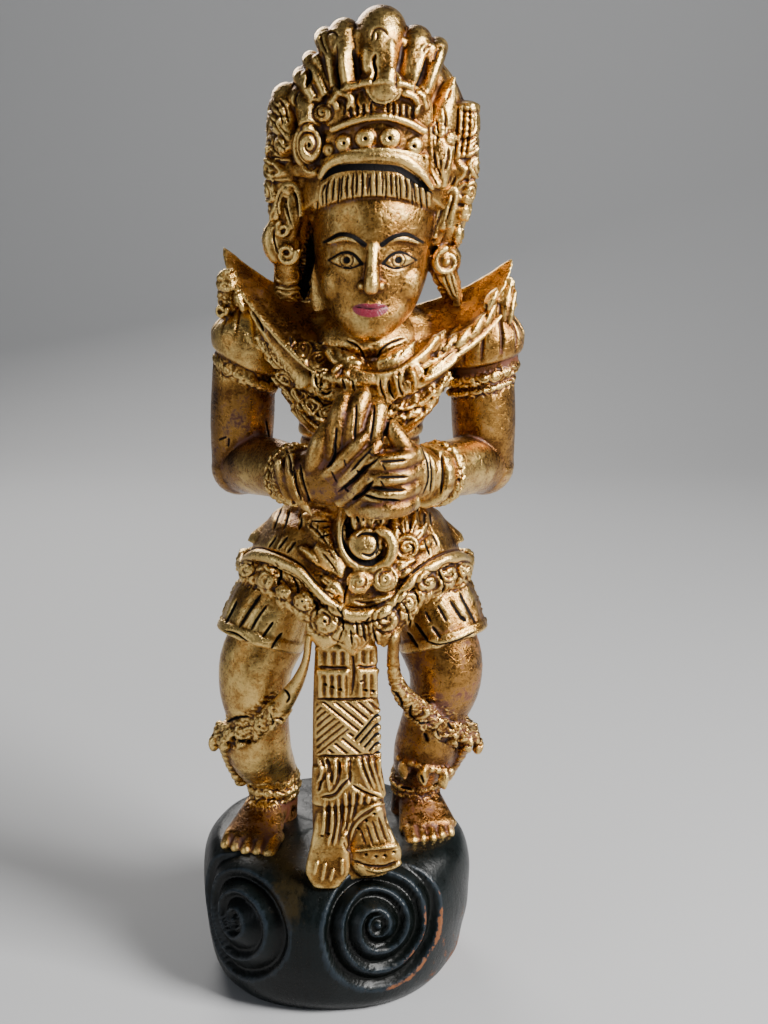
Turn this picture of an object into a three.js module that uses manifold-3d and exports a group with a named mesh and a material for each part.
// A gilded, crowned court figure with clasped hands, carved with its rock base from one block of wood.
// Millimetres, +Z up. The origin is the middle of the underside, and the figure faces -Y.
// The figure is worked out upright about x = 0 and then leans a little to +X, as the carving does.

import * as THREE from "three";
import { LoftGeometry } from "three/addons/geometries/LoftGeometry.js";
import { mergeVertices } from "three/addons/utils/BufferGeometryUtils.js";
import Module from "manifold-3d";

const wasm = await Module();
wasm.setup();

// Driving dimensions
const HEIGHT = 400; // underside to the top of the crest
const BASE_TOP = 60; // height of the rock under the feet
const BASE_RADIUS = 58;
const LEAN = 0.045; // sideways run for each millimetre of rise
const LEAN_START = 4.5; // the figure's middle stands this far to +X of the rock's
const BROW = 315; // height of the brow, from which the face is set out in thirds
const FACE_THIRD = 18;
const HEAD_X = 2; // the head is carved a little to +X of the body's middle
const WAIST = 226;
const SHOULDER = 274;
const KNEE = 127;
const SLIVER = 0.9; // faces thinner than this are merged into their neighbours

const UP = new THREE.Vector3(0, 0, 1);
const BACK = new THREE.Vector3(0, 1, 0);
const TAU = Math.PI * 2;

const point = (x, y, z) => new THREE.Vector3(x, y, z);
const ease = (t) => {
  const s = Math.min(1, Math.max(0, t));
  return s * s * (3 - 2 * s);
};

// Turns a closed geometry into a solid with its faces pointing out.
function solid(geometry) {
  const bare = new THREE.BufferGeometry().setAttribute("position", geometry.getAttribute("position"));
  bare.setIndex(geometry.index);
  const merged = mergeVertices(bare, 1e-4);
  const faces = [];
  const index = merged.index.array;
  for (let i = 0; i < index.length; i += 3) {
    const [a, b, c] = index.slice(i, i + 3);
    if (a !== b && b !== c && c !== a) faces.push([a, b, c]);
  }
  const build = (list) =>
    new wasm.Manifold(
      new wasm.Mesh({
        numProp: 3,
        vertProperties: merged.getAttribute("position").array,
        triVerts: new Uint32Array(list.flat()),
      }),
    );
  const made = build(faces);
  return made.volume() < 0 ? build(faces.map(([a, b, c]) => [a, c, b])) : made;
}

// Skins a closed body over a row of rings, turning the rings round where they wind the wrong way.
function skin(rings) {
  const [first, second] = rings;
  const middle = (ring) => ring.reduce((sum, at) => sum.add(at), point(0, 0, 0)).divideScalar(ring.length);
  const next = (i) => first[(i + 1) % first.length];
  const normal = first.reduce((sum, at, i) => sum.add(at.clone().cross(next(i))), point(0, 0, 0));
  const wrong = normal.dot(middle(second).sub(middle(first))) < 0;
  const wound = wrong ? rings.map((ring) => ring.slice().reverse()) : rings;
  return new LoftGeometry(wound, { capStart: true, capEnd: true });
}

// One closed ring about a centre: a superellipse of half-widths rx and ry along two unit vectors,
// with an optional wave that flutes its edge.
function ring(centre, across, along, rx, ry, { count = 12, power = 2, flutes = 0, depth = 0 } = {}) {
  return Array.from({ length: count }, (_, i) => {
    const angle = (TAU * i) / count;
    const c = Math.cos(angle);
    const s = Math.sin(angle);
    const wave = 1 + depth * Math.cos(flutes * angle);
    const x = rx * wave * Math.sign(c) * Math.abs(c) ** (2 / power);
    const y = ry * wave * Math.sign(s) * Math.abs(s) ** (2 / power);
    return centre.clone().addScaledVector(across, x).addScaledVector(along, y);
  });
}

// A body lofted through level rings. Each level is [height, middle x, middle y, half-width x, half-width y].
function stack(levels, options) {
  const across = point(1, 0, 0);
  const along = point(0, 1, 0);
  const sections = levels.map(([z, x, y, rx, ry]) => ring(point(x, y, z), across, along, rx, ry, options));
  return skin(sections);
}

// A rounded member swept along a smooth curve. Each station is [point, half-width, half-thickness];
// the half-thickness is measured along the direction "face", and the ends are rounded off.
function limb(stations, { steps = 1, face = BACK, roundStart = 0, roundEnd = 0.6, ...options } = {}) {
  const middle = new THREE.CatmullRomCurve3(stations.map(([at]) => at));
  const size = new THREE.CatmullRomCurve3(stations.map(([, w, t = w]) => point(w, t, 0)));
  const last = (stations.length - 1) * steps;
  const sections = [];
  const add = (t, shift, scale) => {
    const along = middle.getTangent(t);
    const across = along.clone().cross(face).normalize();
    const out = across.clone().cross(along).normalize();
    const { x, y } = size.getPoint(t);
    const centre = middle.getPoint(t).addScaledVector(along, shift * Math.min(x, y));
    sections.push(ring(centre, across, out, x * scale, y * scale, options));
  };
  if (roundStart) add(0, -roundStart, 0.6);
  for (let i = 0; i <= last; i++) add(i / last, 0, 1);
  if (roundEnd) add(1, roundEnd, 0.6);
  return skin(sections);
}

// Turns a geometry made about +Z so that +Z points along a direction, and moves it to a place.
function placed(geometry, at, direction) {
  const turn = new THREE.Quaternion().setFromUnitVectors(UP, direction.clone().normalize());
  return geometry.applyQuaternion(turn).translate(at.x, at.y, at.z);
}

const egg = (at, rx, ry, rz, wide = 8, high = 6) =>
  new THREE.SphereGeometry(1, wide, high).rotateX(Math.PI / 2).scale(rx, ry, rz).translate(at.x, at.y, at.z);

// A round boss with a sunken eye, standing on a surface: the carver's rosette.
function rosette(at, direction, radius, height, sides = 6) {
  const profile = [
    [0, -height],
    [radius, -height],
    [radius * 0.62, height],
    [0, height * 0.5],
  ].map(([r, h]) => new THREE.Vector2(r, h));
  return placed(new THREE.LatheGeometry(profile, sides).rotateX(Math.PI / 2), at, direction);
}

// A pointed leaf with a ridge down its middle, from its root to its tip.
function leaf(root, tip, halfWidth, thickness, face) {
  const along = tip.clone().sub(root).normalize();
  const across = along.clone().cross(face).normalize();
  const out = across.clone().cross(along).normalize();
  const outline = [
    [0, 0.55],
    [0.42, 1],
    [1, 0.06],
  ];
  const sections = outline.map(([t, share]) => {
    const thick = thickness * (0.35 + 0.65 * share);
    return ring(root.clone().lerp(tip, t), across, out, halfWidth * share, thick, { count: 4 });
  });
  return skin(sections);
}

// A tapering cord wound in a flat spiral about a centre: the carver's volute.
function volute(centre, direction, outer, { turns = 1.4, cord = 2, start = 0, hand = 1 } = {}) {
  const count = Math.round(turns * 7);
  const sections = Array.from({ length: count + 1 }, (_, i) => {
    const t = i / count;
    const angle = start + hand * turns * TAU * t;
    const radius = outer * (1 - 0.78 * t);
    const outward = point(Math.cos(angle), Math.sin(angle), 0);
    const thick = cord * (1 - 0.35 * t);
    return ring(outward.clone().multiplyScalar(radius), outward, UP, thick, thick, { count: 4 });
  });
  return placed(skin(sections), centre, direction);
}

// The same piece on both sides: side is -1 for -X and 1 for +X.
const pair = (make) => [-1, 1].flatMap((side) => make(side));

// The rock
// Its side is an outline from the underside up and over its shoulder, which is rounder at the front:
// [height, share of BASE_RADIUS at the front, share at the sides and back].
const ROCK_SIDE = [
  [0, 0.86, 0.86],
  [7, 0.93, 0.93],
  [18, 0.98, 0.97],
  [31, 1, 1],
  [43, 0.97, 1],
  [52, 0.89, 0.98],
  [57.5, 0.78, 0.92],
  [BASE_TOP, 0.62, 0.8],
  [BASE_TOP + 0.6, 0.3, 0.4],
];

function rockPoint(angle, height, frontShare, sideShare) {
  const ripple = 1 + 0.018 * Math.cos(3 * angle + 0.6) + 0.012 * Math.cos(5 * angle - 1);
  const front = ease(-Math.sin(angle) * 1.3 - 0.1);
  const radius = BASE_RADIUS * ripple * (frontShare * front + sideShare * (1 - front));
  return point(radius * Math.cos(angle), radius * Math.sin(angle), height);
}

function rock() {
  const count = 28;
  const around = Array.from({ length: count }, (_, i) => (TAU * i) / count);
  const sections = ROCK_SIDE.map((level) => around.map((angle) => rockPoint(angle, ...level)));
  return solid(skin(sections));
}

// A place on the rock's skin, a given run up its side from the underside.
function rockSkin(angle, run) {
  let left = run;
  for (let i = 1; i < ROCK_SIDE.length; i++) {
    const low = ROCK_SIDE[i - 1];
    const high = ROCK_SIDE[i];
    const length = rockPoint(angle, ...low).distanceTo(rockPoint(angle, ...high));
    if (left <= length || i === ROCK_SIDE.length - 1) {
      const t = left / length;
      return rockPoint(angle, ...low.map((value, k) => value + (high[k] - value) * t));
    }
    left -= length;
  }
}

// Spiral grooves cut round the rock: middle direction, run up the side to the middle, and outer radius.
const SWIRLS = [
  { middle: -1.2, run: 46, radius: 27, hand: -1, turns: 2.6 },
  { middle: -2.56, run: 37, radius: 22, hand: 1, turns: 2 },
  { middle: 1.75, run: 37, radius: 22, hand: -1, turns: 2 },
];

function swirlCutter({ middle, run, radius, hand, turns }) {
  const steps = Math.round(turns * 9);
  const at = (angle, reach) =>
    rockSkin(middle + (reach * Math.cos(angle)) / BASE_RADIUS, run + reach * Math.sin(angle));
  const sections = Array.from({ length: steps + 1 }, (_, i) => {
    const t = i / steps;
    const angle = 1.2 + hand * turns * TAU * t;
    const reach = radius * (1 - 0.86 * t);
    const centre = at(angle, reach);
    const inward = at(angle, reach - 2).sub(centre).normalize();
    const onward = at(angle + 0.05, reach).sub(centre).normalize();
    const outward = inward.clone().cross(onward).normalize();
    const groove = 2.3 * (1 - 0.3 * t);
    return ring(centre, inward, outward, groove, 3.2, { count: 4 });
  });
  return solid(skin(sections));
}

// Legs and feet
const FOOT = { "-1": { ankle: [-29, 14], ball: [-39, -15] }, 1: { ankle: [33, 19], ball: [38, -4] } };

function leg(side) {
  const [ankleX, ankleY] = FOOT[side].ankle;
  return limb(
    [
      [point(side * 21, 2, 172), 17],
      [point(side * 36, -6, 146), 16.5],
      [point(side * 40.5, -9, KNEE), 15],
      [point(side * 37, -2, 101), 13.8],
      [point(ankleX, ankleY - 5, 76), 9.5],
      [point(ankleX, ankleY - 4, BASE_TOP - 2), 10],
    ],
    { count: 12, roundEnd: 0, steps: 2 },
  );
}

function foot(side) {
  const [ankleX, ankleY] = FOOT[side].ankle;
  const [ballX, ballY] = FOOT[side].ball;
  const heel = point(ankleX, ankleY + 3, BASE_TOP + 5);
  const ball = point(ballX, ballY, BASE_TOP + 2);
  const forward = ball.clone().sub(heel).setZ(0).normalize();
  const sideways = point(-forward.y, forward.x, 0);
  const sole = limb(
    [
      [heel, 9.5, 7],
      [heel.clone().lerp(ball, 0.45).setZ(BASE_TOP + 6), 9.5, 7.5],
      [ball, 13, 4.6],
    ],
    { face: UP, count: 8 },
  );
  const toes = [-2, -1, 0, 1, 2].map((k) => {
    const root = ball.clone().addScaledVector(sideways, k * 5.2).addScaledVector(forward, -3);
    const reach = 10.5 - 0.8 * Math.abs(k) - side * k * 0.8;
    const tip = root.clone().addScaledVector(forward, reach).setZ(BASE_TOP - 0.5);
    return limb(
      [
        [root, 3.1],
        [tip, 2.9],
      ],
      { face: UP, count: 5, roundEnd: 0.5 },
    );
  });
  return [sole, ...toes];
}

// Pleated cloth over the thigh, with a hem above the knee.
const thighCloth = (side) =>
  limb(
    [
      [point(side * 22, -1, 182), 15, 17],
      [point(side * 33, -5, 163), 18.4, 20],
      [point(side * 40.5, -10.5, 146), 18.2, 18.6],
    ],
    { count: 20, flutes: 10, depth: 0.035, roundEnd: 0 },
  );

// Garland ribbons
// One leaves the side of the sash, crosses to the shin and winds round it; a band closes the ankle.
function garland(side) {
  const ribbon = limb(
    [
      [point(side * 17, -36, 162), 3.4, 3],
      [point(side * 17, -34, 137), 2.8, 2.8],
      [point(side * 24, -27, 116), 3.4, 3.4],
      [point(side * 36, -17, 106), 4.8, 3.6],
      [point(side * 49, -6, 104), 4.8, 3.6],
      [point(side * 50, 6, 101), 4.4, 3.4],
    ],
    { count: 4, face: point(0, -1, 0.2) },
  );
  const tail = limb(
    [
      [point(side * 50, -4, 103), 4, 5],
      [point(side * 48, -1, 90), 4.2, 5],
      [point(side * 42, 5, 79), 3, 4],
    ],
    { count: 4, roundEnd: 0 },
  );
  const knots = [0, 1, 2].map((k) => {
    const at = point(side * (31 + 7 * k), -20 + 4.4 * k, 108 - k);
    return rosette(at, point(side * (0.15 + 0.2 * k), -1, 0), 3.8, 1.8);
  });
  const [ankleX, ankleY] = FOOT[side].ankle;
  const anklet = stack(
    [
      [74.5, ankleX, ankleY - 5, 10.8, 11.4],
      [78, ankleX + side * 0.6, ankleY - 5, 13.2, 13.8],
      [82, ankleX + side * 1.4, ankleY - 5, 11.2, 12],
    ],
    { count: 10 },
  );
  return [ribbon, tail, ...knots, anklet];
}

// Hips and skirts
// A skirt ring has a dip of its own at the front, the sides and the back; front and back are -Y and +Y.
function skirtRing(level, width, depthFront, depthBack, drop, options) {
  const { count, flutes = 0, depth = 0, tip = 0 } = options;
  return Array.from({ length: count }, (_, i) => {
    const angle = (TAU * i) / count;
    const c = Math.cos(angle);
    const s = Math.sin(angle);
    const wave = 1 + depth * Math.cos(flutes * angle);
    const flare = 1 + tip * Math.abs(c) ** 12;
    const front = Math.max(0, -s) ** 1.5;
    const back = Math.max(0, s) ** 1.5;
    const y = s * wave * (s < 0 ? depthFront : depthBack);
    return point(c * wave * flare * width, y, level - drop * (front + 0.62 * back));
  });
}

function peplum() {
  const options = { count: 32, flutes: 16, depth: 0.022 };
  const sections = [
    skirtRing(226, 21, 18, 18, 0, options),
    skirtRing(211, 26, 23, 21, 0, options),
    skirtRing(190, 37.5, 32, 28, -1, { ...options, tip: 0.18 }),
    skirtRing(187.5, 36, 31, 27, -1, { ...options, tip: 0.14 }),
  ];
  return skin(sections);
}

const HEM = { side: 176, width: 47, front: 40, back: 36, drop: 25 };

function hipCloth() {
  const options = { count: 22 };
  const out = HEM.width;
  const sections = [
    skirtRing(198, 30, 26, 24, 0, options),
    skirtRing(HEM.side + 13, out - 4, HEM.front - 4, HEM.back - 4, HEM.drop - 5, options),
    skirtRing(HEM.side + 11, out + 1.5, HEM.front + 0.5, HEM.back + 0.5, HEM.drop - 4, options),
    skirtRing(HEM.side + 7, out + 1.5, HEM.front + 0.5, HEM.back + 0.5, HEM.drop - 4, options),
    skirtRing(HEM.side + 5, out - 1.5, HEM.front - 2, HEM.back - 2, HEM.drop - 3, options),
    skirtRing(HEM.side - 5, out - 1.5, HEM.front - 2, HEM.back - 2, HEM.drop, options),
  ];
  return skin(sections);
}

// Rosettes hang all along the front of the hem.
function hemBorder() {
  return [-4, -3, -2, -1, 0, 1, 2, 3, 4].map((k) => {
    const angle = (TAU * k) / 15 - Math.PI / 2;
    const front = Math.max(0, -Math.sin(angle)) ** 1.5;
    const z = HEM.side - 1 - HEM.drop * front;
    const at = point(Math.cos(angle) * (HEM.width - 1), Math.sin(angle) * (HEM.front - 1.5), z);
    const outward = point(Math.cos(angle) / HEM.width, Math.sin(angle) / HEM.front, 0.004);
    return rosette(at, outward, 7, 2.8, 7);
  });
}

function beltOrnament() {
  const front = point(0.1, -1, 0.3);
  const scroll = volute(point(11, -33, 191), front, 11, { cord: 3.2, start: 2.6 });
  const eye = rosette(point(11, -33, 191), front, 4.4, 4);
  const leaves = [
    leaf(point(-3, -28, 203), point(-3.5, -36, 176), 6.4, 4.4, front),
    leaf(point(-9, -26, 208), point(-21, -31, 184), 6.4, 4.4, front),
    leaf(point(23, -20, 204), point(31, -23, 185), 5.6, 4.4, front),
  ];
  const drops = [0, 1].map((k) => rosette(point(3 + 9 * k, -36, 173), front, 4.2, 3));
  return [scroll, eye, ...leaves, ...drops];
}

// The sash that hangs from the hem to the rock: pleated, with a plaited panel half way down.
function sashSection(z, left, right, y, thickness, pleats, relief) {
  const points = [];
  const count = pleats * 2;
  for (let i = 0; i <= count; i++) {
    const bulge = 1.6 * Math.sin((Math.PI * i) / count);
    const x = left + ((right - left) * i) / count;
    points.push(point(x, y - bulge + (i % 2 ? relief : 0), z));
  }
  points.push(point(right - 1, y + thickness, z));
  points.push(point(left + 1, y + thickness, z));
  return points;
}

function sash() {
  const pleats = 4;
  const body = skin([
    sashSection(166, -13, 12.5, -36, 10, pleats, 1.8),
    sashSection(131, -13.5, 14.5, -40, 10, pleats, 2),
    sashSection(128, -13, 14, -39.5, 9, pleats, 0.1),
    sashSection(105, -13, 15, -40.5, 9, pleats, 0.1),
    sashSection(102, -13.5, 15.5, -41.5, 10, pleats, 2),
    sashSection(74, -14, 19, -44, 12, pleats, 2),
    sashSection(BASE_TOP - 4, -14, 18, -45, 14, pleats, 2),
  ]);
  const plait = pair((hand) =>
    [-1.5, -0.5, 0.5, 1.5].map((k) => {
      const middle = point(0.8 + hand * 6.4, -41.6, 116.5 + k * 5.4);
      const half = point(5.4, 0, hand * 4.6);
      return limb(
        [
          [middle.clone().sub(half), 1.2, 1.6],
          [middle.clone().add(half), 1.2, 1.6],
        ],
        { count: 4, roundEnd: 0 },
      );
    }),
  );
  const leftTail = limb(
    [
      [point(-7, -43, 84), 7, 4.6],
      [point(-8.5, -47, 70), 8, 5],
      [point(-8, -50, 60), 9.4, 4.6],
    ],
    { count: 12, flutes: 6, depth: 0.06, roundEnd: 0.3 },
  );
  const fanTail = limb(
    [
      [point(6, -42, 90), 9, 4.6],
      [point(11, -44, 76), 12, 5],
      [point(13.5, -44, 65), 14, 5],
    ],
    { count: 14, flutes: 7, depth: 0.06, roundEnd: 0.5 },
  );
  return [body, ...plait, leftTail, fanTail];
}

// Torso and neck
const torso = () =>
  stack(
    [
      [165, 0, -1, 30, 26],
      [200, 0, 0, 26, 21],
      [WAIST, 0, 0, 22, 17.5],
      [240, 0, 0, 25, 18.5],
      [254, 0, 0, 33, 21],
      [SHOULDER, 0, 1, 43, 20],
      [285, 0, 1, 40, 16],
      [291, 1, 0, 14, 13],
      [306, 1.5, 0, 13, 13],
    ],
    { count: 14 },
  );

// The chest bib: carved rows that narrow in steps towards the waist.
function bib() {
  const rows = [
    { top: 278, drop: 21, half: 40, out: 24 },
    { top: 263, drop: 18, half: 31, out: 22 },
    { top: 249, drop: 14, half: 23, out: 19.5 },
  ];
  return rows.map(({ top, drop, half, out }) => {
    const stations = [-1, -0.66, -0.33, 0, 0.33, 0.66, 1].map((t) => [
      point(half * t, -out * Math.sqrt(1 - (half * t / 46) ** 2), top - drop * (1 - t * t)),
      5.2,
      3.4,
    ]);
    return limb(stations, { count: 5, face: point(0, -1, 0.2), roundEnd: 0 });
  });
}

function bibRosettes() {
  return [-2.5, -1.5, -0.5, 0.5, 1.5, 2.5].map((k) => {
    const t = k / 3.2;
    const at = point(34 * t, -27.5 * Math.sqrt(1 - 0.5 * t * t), 258 + 15 * t * t);
    return rosette(at, point(0.7 * t, -1, -0.1), 5, 2.4);
  });
}

// The wide collar: a dish about the neck whose sides sweep up into pointed wings.
function collar() {
  const count = 24;
  const sections = Array.from({ length: count + 1 }, (_, i) => {
    const angle = (TAU * (i % count)) / count;
    const c = Math.cos(angle);
    const s = Math.sin(angle);
    const wing = Math.abs(c) ** 5;
    const front = Math.max(0, -s);
    const rim = point(c * (37 + 20 * wing), s * (s < 0 ? 38 : 31), 0);
    rim.z = 290 - 27 * front ** 1.4 + 19 * wing;
    const neck = point(1 + c * 15, -1 + s * 15, 284 - 7 * front);
    const lip = rim.clone().lerp(neck, 0.16);
    return [
      rim,
      rim.clone().add(point(0, 0, 2.6)),
      lip.clone().add(point(0, 0, 2.8)),
      lip.clone().add(point(0, 0, 0.4 - 2.5 * (1 - wing))),
      neck.clone().add(point(0, 0, 2)),
      rim.clone().lerp(neck, 0.5).add(point(0, 0, -8)),
    ];
  });
  return new LoftGeometry(sections);
}

// Two leaves meet under the chin, and a ruff closes the neck.
const neckOrnament = () => [
  ...pair((side) => {
    const root = point(side + 1.5, -25, 270);
    return leaf(root, point(side * 17 + 1.5, -22, 283), 5, 4, point(0, -1, 0.6));
  }),
  stack(
    [
      [276, 1, -4, 19, 19],
      [281, 1, -4, 20, 20],
      [285, 1, -4, 17, 17],
    ],
    { count: 14 },
  ),
];

// Shoulders and arms
function shoulderPuff(side) {
  const puff = stack(
    [
      [258, side * 48, 0, 12, 13],
      [267, side * 48.4, 0, 14.4, 15.4],
      [278, side * 48.4, 0, 14, 15],
      [287, side * 47.5, 0, 9.4, 10],
      [290, side * 46.5, 0, 4, 4],
    ],
    { count: 16, flutes: 8, depth: 0.045 },
  );
  const cuff = stack(
    [
      [253, side * 48, 0, 12.6, 13],
      [257, side * 48, 0, 15.2, 15.6],
      [261, side * 48, 0, 12.6, 13],
    ],
    { count: 12 },
  );
  const flames = [0, 1].map((k) => {
    const root = point(side * 54, 6 - 9 * k, 280);
    return leaf(root, point(side * (58 + k), 6 - 9 * k, 303 - 6 * k), 6, 4, point(side, 0, 0.2));
  });
  return [puff, cuff, ...flames];
}

const ARM = {
  shoulder: (side) => point(side * 48, 0, 262),
  elbow: (side) => point(side * (50 + 1.5 * side), 3, 222),
  wrist: (side) => point(2 + side * 23, -38, 227),
};

const upperArm = (side) =>
  limb(
    [
      [ARM.shoulder(side), 12.6],
      [ARM.shoulder(side).lerp(ARM.elbow(side), 0.5), 13],
      [ARM.elbow(side), 12],
    ],
    { count: 12 },
  );

const forearm = (side) =>
  limb(
    [
      [ARM.elbow(side), 11.6, 11.8],
      [ARM.elbow(side).lerp(ARM.wrist(side), 0.45).add(point(0, 0, 1)), 11.4, 11.6],
      [ARM.wrist(side), 8.6, 9.6],
    ],
    { count: 12, face: UP },
  );

function bracelet(side) {
  const along = ARM.wrist(side).sub(ARM.elbow(side)).normalize();
  const at = ARM.wrist(side).addScaledVector(along, -4);
  const band = new THREE.LatheGeometry(
    [
      [0, -4],
      [12.6, -3],
      [11.2, 0],
      [12.6, 3],
      [0, 4],
    ].map(([r, h]) => new THREE.Vector2(r, h)),
    9,
  ).rotateX(Math.PI / 2);
  const cuffLeaf = () => {
    const root = at.clone().add(point(-3, -8, 10));
    return leaf(root, at.clone().add(point(5, -11, -14)), 4.6, 3, point(0, -1, 0));
  };
  return side < 0 ? [placed(band, at, along), cuffLeaf()] : [placed(band, at, along)];
}

// Hands
// The -X hand reaches over with its thumb up and the +X hand closes round it. A bud rises between them.
const finger = (from, knuckle, tip, radius) =>
  limb(
    [
      [from, radius],
      [knuckle, radius],
      [tip, radius * 0.8],
    ],
    { count: 5, face: point(0, -1, 0) },
  );

function hands() {
  const front = point(0, -1, 0);
  const palm = (stations) => limb(stations, { face: front, count: 7, roundEnd: 0.5 });
  // The fist is one block whose ribs are the four bent fingers.
  const knuckles = [0, 1, 2, 3].flatMap((k) => [
    [216 + 6 * k, 11, -49, 9, 5.6],
    [219 + 6 * k, 11, -49.5, 11, 9.4],
  ]);
  const fist = stack([...knuckles, [239.6, 11, -49, 9, 6]], { count: 7, power: 3 });
  const crossing = [0, 1, 2].map((k) =>
    limb(
      [
        [point(-11 + 4 * k, -53, 225 - 3.6 * k), 2.8],
        [point(3 + 3 * k, -54, 240 - 4.4 * k), 2.6],
      ],
      { count: 5, face: front },
    ),
  );
  return [
    palm([
      [point(-20, -40, 228), 9, 8],
      [point(-11, -46, 229), 11.5, 8.5],
      [point(-2, -48, 234), 12, 8],
    ]),
    palm([
      [point(25, -39, 228), 9, 8],
      [point(16, -46, 230), 12, 8],
    ]),
    fist,
    ...crossing,
    finger(point(-17, -46, 230), point(-15, -50, 240), point(-11.5, -50, 250), 3.6),
    finger(point(18, -48, 236), point(16, -51, 247), point(12, -51, 254), 3.6),
    finger(point(-7, -49, 232), point(-6, -50.5, 246), point(-2.5, -48.5, 260), 4.8),
    finger(point(3, -50, 234), point(3.5, -51.5, 247), point(3.5, -49, 261), 5),
  ];
}

// Head
const head = () =>
  stack(
    [
      [BROW - 2 * FACE_THIRD - 1, HEAD_X, -26, 6.5, 6],
      [283, HEAD_X, -21.5, 12.5, 12.5],
      [290, HEAD_X, -15.5, 17.6, 18],
      [299, HEAD_X, -9.5, 21.2, 23.4],
      [311, HEAD_X, -6, 23.2, 27],
      [326, HEAD_X, -4.5, 24.2, 28],
      [340, HEAD_X, -3, 23, 26],
    ],
    { count: 16 },
  );

function face() {
  const front = -33.5;
  const noseBase = BROW - FACE_THIRD;
  const mouth = noseBase - FACE_THIRD / 3;
  const nose = skin([
    ring(point(HEAD_X, front + 3.4, BROW + 1), point(1, 0, 0), point(0, 1, 0), 2, 2.2, { count: 6 }),
    ring(point(HEAD_X, front + 1, BROW - 8), point(1, 0, 0), point(0, 1, 0), 2.4, 3, { count: 6 }),
    ring(point(HEAD_X, front + 0.4, noseBase + 3), point(1, 0, 0), point(0, 1, 0), 4, 5, { count: 6 }),
    ring(point(HEAD_X, front + 2, noseBase), point(1, 0, 0), point(0, 1, 0), 3.4, 3.4, { count: 6 }),
  ]);
  const lips = [
    egg(point(HEAD_X, front + 4.4, mouth + 1.1), 6, 3, 1.5, 6, 3),
    egg(point(HEAD_X, front + 4.6, mouth - 1.5), 4.8, 3, 1.7, 6, 3),
  ];
  const eyes = pair((side) => egg(point(HEAD_X + side * 9.6, -26.2, BROW - 5), 5.4, 4, 3, 6, 4));
  const brows = pair((side) =>
    limb(
      [
        [point(HEAD_X + side * 3, -32, BROW), 1.4, 1.6],
        [point(HEAD_X + side * 9.5, -30.6, BROW + 2.6), 1.4, 1.6],
        [point(HEAD_X + side * 17, -26, BROW - 0.5), 1.2, 1.4],
      ],
      { count: 4 },
    ),
  );
  return [nose, ...lips, ...eyes, ...brows];
}

// A fringe of grooved hair under the crown, longer at the temples.
function fringe() {
  const count = 32;
  const edge = (level, grow, reach, dip) =>
    Array.from({ length: count }, (_, i) => {
      const angle = (TAU * i) / count;
      const c = Math.cos(angle);
      const s = Math.sin(angle);
      const wave = 1 + 0.02 * (i % 2 ? -1 : 1);
      const arch = dip * Math.abs(c) ** 1.5 + 2 * Math.max(0, s);
      return point(HEAD_X + c * (24.4 + grow) * wave, -5 + s * (28 + grow) * wave, level - arch - reach);
    });
  return skin([edge(333, 0, 0, 7), edge(335, 2, 0, 7), edge(350, 2.4, 0, 7)]);
}

// Crown
const CROWN = { width: 31, depth: 32, low: 343, arch: 6 };

// A level ring on the crown whose front rises in an arch. "out" widens it.
function crownRing(height, out, { count = 22, flutes = 0, depth = 0 } = {}) {
  return Array.from({ length: count }, (_, i) => {
    const angle = (TAU * i) / count;
    const c = Math.cos(angle);
    const s = Math.sin(angle);
    const wave = 1 + depth * Math.cos(flutes * angle);
    const rise = CROWN.arch * Math.max(0, -s) ** 2;
    return point(1 + c * wave * (CROWN.width + out), -2 + s * wave * (CROWN.depth + out), height + rise);
  });
}

function crownBand() {
  const body = skin([
    crownRing(CROWN.low - 5, -3),
    crownRing(CROWN.low - 4, 2),
    crownRing(CROWN.low + 2.5, 2),
    crownRing(CROWN.low + 4, -0.8),
    crownRing(CROWN.low + 12, -0.8),
    crownRing(CROWN.low + 13, 1.8),
    crownRing(CROWN.low + 17, 1),
    crownRing(CROWN.low + 26, -4),
  ]);
  const studs = [-3.5, -2.5, -1.5, -0.5, 0.5, 1.5, 2.5, 3.5].map((k) => {
    const angle = -Math.PI / 2 + k * 0.3;
    const rise = CROWN.arch * Math.max(0, -Math.sin(angle)) ** 2;
    const outward = point(Math.cos(angle), Math.sin(angle), 0);
    const at = outward.clone().multiply(point(CROWN.width - 1, CROWN.depth - 1, 0));
    return rosette(at.add(point(1, -2, CROWN.low + 8 + rise)), outward, 4.2, 2.6, 6);
  });
  return [body, ...studs];
}

// The tiara panel over the brow: a half lotus between leaves and small volutes.
const tiara = () => [
  limb(
    [
      [point(1, -31, 358), 13, 5],
      [point(1, -29, 370), 14, 5],
      [point(1, -27, 379), 9, 5],
    ],
    { face: point(0, -1, 0.1), count: 8 },
  ),
  egg(point(2, -33, 371), 8.5, 5.4, 6, 8, 5),
  ...pair((side) => rosette(point(1 + side * 14.5, -31, 368.5), point(side * 0.3, -1, 0.1), 6.4, 3, 7)),
  ...pair((side) => {
    const face = point(side * 0.2, -1, 0.2);
    return leaf(point(1 + side * 6, -33.5, 363.5), point(1 + side * 23, -28, 362), 3.4, 2.6, face);
  }),
];

// The crest: hooded lobes that stand up like a fan and fall in steps to both sides.
const LOBES = [
  { x: 2, top: HEIGHT, half: 9.2 },
  { x: -11.6, top: 394, half: 6.6 },
  { x: 15.6, top: 393.5, half: 6.8 },
  { x: -18.8, top: 389.5, half: 4.8 },
  { x: 23.4, top: 388.5, half: 4.6 },
  { x: -24, top: 384, half: 4.2 },
  { x: -28.4, top: 378, half: 4 },
  { x: 28.6, top: 380, half: 3.6 },
];

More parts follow.
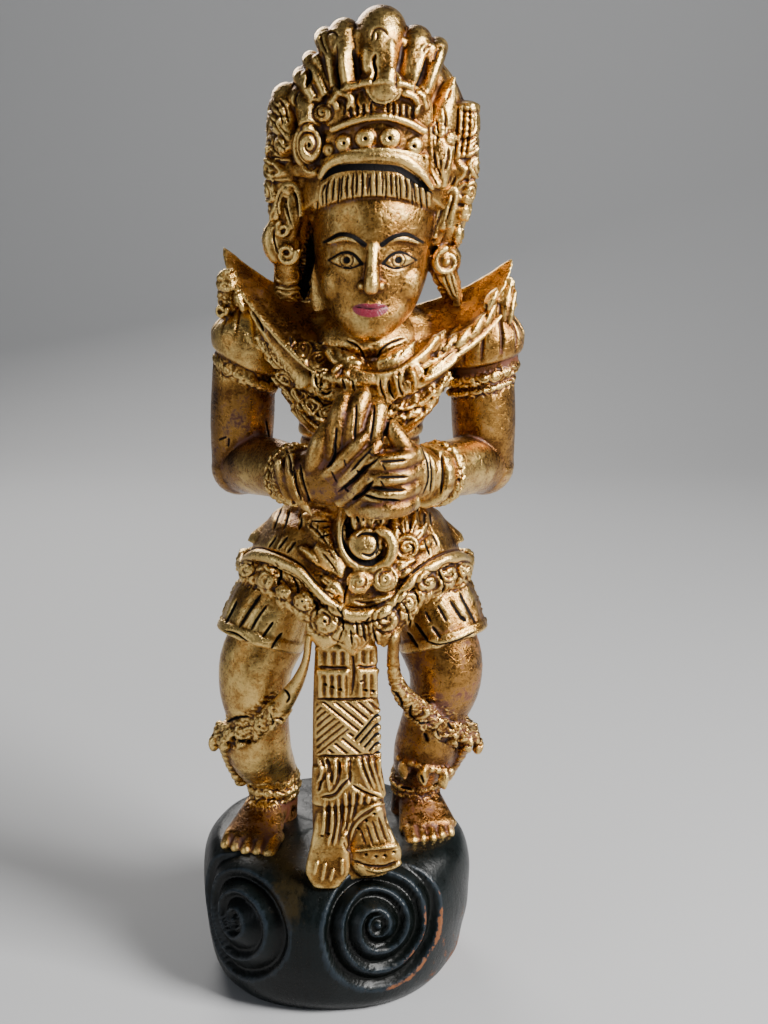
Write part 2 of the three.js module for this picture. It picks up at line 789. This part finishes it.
function lobe({ x, top, half }) {
  const from = 366 - Math.abs(x) * 0.35;
  const y = -27 + Math.abs(x) * 0.35;
  return limb(
    [
      [point(x * 0.74, y, from), half * 0.64, 7],
      [point(x * 0.92, y, from + (top - from) * 0.5), half * 0.84, 7.4],
      [point(x, y + 3, top - half * 0.95), half, 9],
      [point(x, y + 4, top - half * 0.35), half * 0.8, 7.4],
    ],
    { count: half > 6 ? 8 : 6, roundEnd: 0.42 },
  );
}

// Behind the crest the gathered hair is a ribbed dome.
const dome = () =>
  stack(
    [
      [298, 1, 6, 15, 15],
      [316, 1, 4, 25, 22],
      [334, 1, 3, 34, 30.5],
      [362, 0, 3, 35.5, 31.5],
      [377, 0, 2, 28, 24],
      [390, 0, -1, 11, 10],
    ],
    { count: 20, flutes: 10, depth: 0.03 },
  );

// A side of the crown: a tall panel with a volute, a curled top on the -X side and a leaf on the +X side.
function crownSide(side) {
  const panel = limb(
    [
      [point(side * 31, 1, 314), 6.4, 10],
      [point(side * 33, 0, 334), 7, 15],
      [point(side * 34, 0, 352), 7, 15],
      [point(side * 34.5, 0, 363), 6.5, 11],
    ],
    { count: 7, power: 3, roundEnd: 0 },
  );
  const outward = point(side * 0.8, -1, 0);
  const roundel = volute(point(side * 27, -22, 350), outward, 8.4, { cord: 2.4, start: 1.57, hand: side });
  const eye = rosette(point(side * 27, -22, 350), outward, 3, 3);
  const flames = [0, 1].map((k) => {
    const tip = point(side * 39.5, -8 + 12 * k, 355 + 3 * k);
    return leaf(point(side * 37, -7 + 11 * k, 330), tip, 6, 3.4, point(side, -0.2, 0));
  });
  const curledTop = () => [
    limb(
      [
        [point(-36, -4, 350), 5, 9],
        [point(-37, -4, 361), 5, 9],
        [point(-33, -4, 368), 5.4, 9],
      ],
      { count: 7, roundEnd: 0.5 },
    ),
    rosette(point(-33, -12, 365), point(-0.3, -1, 0), 5, 2.4),
  ];
  const leafTop = () => [
    leaf(point(27, -22, 340), point(30, -14, 378), 7, 5, point(0.5, -1, 0)),
    limb(
      [
        [point(35, -2, 352), 4.4, 8],
        [point(36, -2, 364), 4.6, 8],
      ],
      { count: 6, power: 4, roundEnd: 0.3 },
    ),
  ];
  return [panel, roundel, eye, ...flames, ...(side < 0 ? curledTop() : leafTop())];
}

// Long ears, round ear plugs and the pendants that fall to the collar.
function earAndPendant(side) {
  const x = HEAD_X + side * 27;
  return [
    leaf(point(x, -11, 306), point(x + side * 2.5, -11, 338), 6.5, 4, point(side * 0.6, -1, 0)),
    limb(
      [
        [point(x + side * 1.5, 0, 322), 6, 10],
        [point(x + side * 2.4, -1, 303), 6, 8],
      ],
      { count: 8 },
    ),
    rosette(point(x + side * 3.2, -9, 306), point(side * 0.35, -1, 0), 7.6, 3.8, 8),
    limb(
      [
        [point(x + side * 1.6, -7, 301), 5.4, 5],
        [point(x + side * 4.6, -8, 287), 3.6, 4],
      ],
      { count: 8, flutes: 4, depth: 0.1 },
    ),
  ];
}

// All of the figure, upright, and then the lean.
const figureParts = [
  ...pair(leg),
  ...pair(foot),
  ...pair(thighCloth),
  ...pair(garland),
  torso(),
  peplum(),
  hipCloth(),
  ...hemBorder(),
  ...beltOrnament(),
  ...sash(),
  ...bib(),
  ...bibRosettes(),
  collar(),
  ...neckOrnament(),
  ...pair(shoulderPuff),
  ...pair(upperArm),
  ...pair(forearm),
  ...pair(bracelet),
  ...hands(),
  head(),
  ...face(),
  fringe(),
  ...crownBand(),
  ...tiara(),
  ...LOBES.map(lobe),
  dome(),
  ...pair(crownSide),
  ...pair(earAndPendant),
];

const leaning = new THREE.Matrix4().set(
  1, 0, LEAN, LEAN_START - LEAN * BASE_TOP,
  0, 1, 0, 0,
  0, 0, 1, 0,
  0, 0, 0, 1,
);

const figure = wasm.Manifold.union(figureParts.map((g) => solid(g.applyMatrix4(leaning))));
const swirls = wasm.Manifold.union(SWIRLS.map(swirlCutter));
const joined = figure.add(rock().subtract(swirls));

// The largest body alone, so that no hollow stays sealed in where forms meet.
const outer = (made) => made.decompose().reduce((most, body) => (body.volume() > most.volume() ? body : most));
const carving = outer(outer(joined).asOriginal().simplify(SLIVER));

// A geometry that three.js can draw, from a solid.
function drawn(made) {
  const { vertProperties, triVerts } = made.getMesh();
  const geometry = new THREE.BufferGeometry();
  geometry.setAttribute("position", new THREE.BufferAttribute(vertProperties, 3));
  geometry.setIndex(new THREE.BufferAttribute(triVerts, 1));
  geometry.computeVertexNormals();
  return geometry;
}

const gilding = new THREE.MeshStandardMaterial({ color: 0xb08a3c, roughness: 0.42, metalness: 0.8 });

const carvedFigure = new THREE.Mesh(drawn(carving), gilding);
carvedFigure.name = "carved_figure";

const statue = new THREE.Group();
statue.add(carvedFigure);

export default statue;
